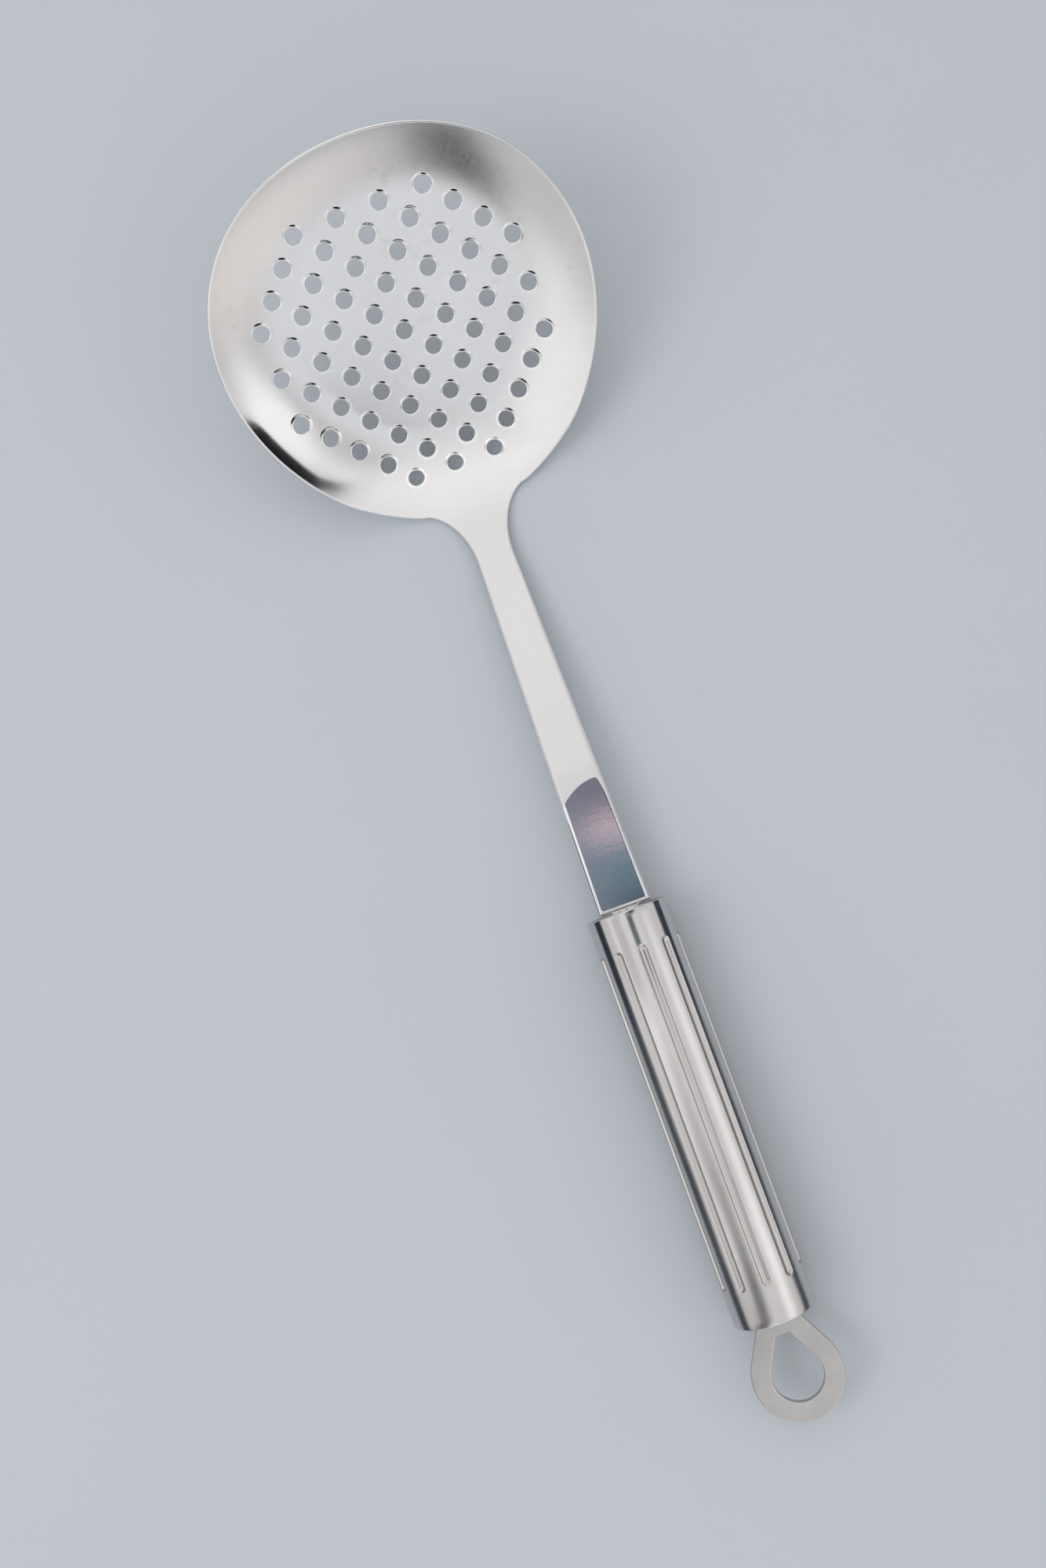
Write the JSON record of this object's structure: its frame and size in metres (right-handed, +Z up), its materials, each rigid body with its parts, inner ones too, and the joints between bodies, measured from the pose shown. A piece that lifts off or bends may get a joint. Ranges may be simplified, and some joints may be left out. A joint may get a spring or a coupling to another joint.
{
  "type": "perforated skimmer ladle",
  "caption": "Steel skimmer ladle: shallow round dish with staggered drain holes, bent flat shank, fluted tubular handle and flat hanging loop.",
  "frame": {"origin": "bottom centre of the whole object's box, on the surface it lies on", "axes": "+X from the hanging loop to the tip of the bowl, +Y across, +Z up out of the bowl's concave side"},
  "size_m": [0.3386, 0.1016, 0.0602],
  "materials": {
    "satin_steel": "satin, fine lengthwise grain on the shank",
    "handle_steel": "satin, bright along the top",
    "cap_steel": "satin, ground flush with the tube",
    "loop_steel": "matt, fine even grain"
  },
  "bodies": {
    "root": {"bowl_and_shank": "satin_steel", "handle_tube": "handle_steel", "front_cap": "cap_steel", "rear_cap": "cap_steel", "hanging_loop": "loop_steel"}
  },
  "joints": []
}
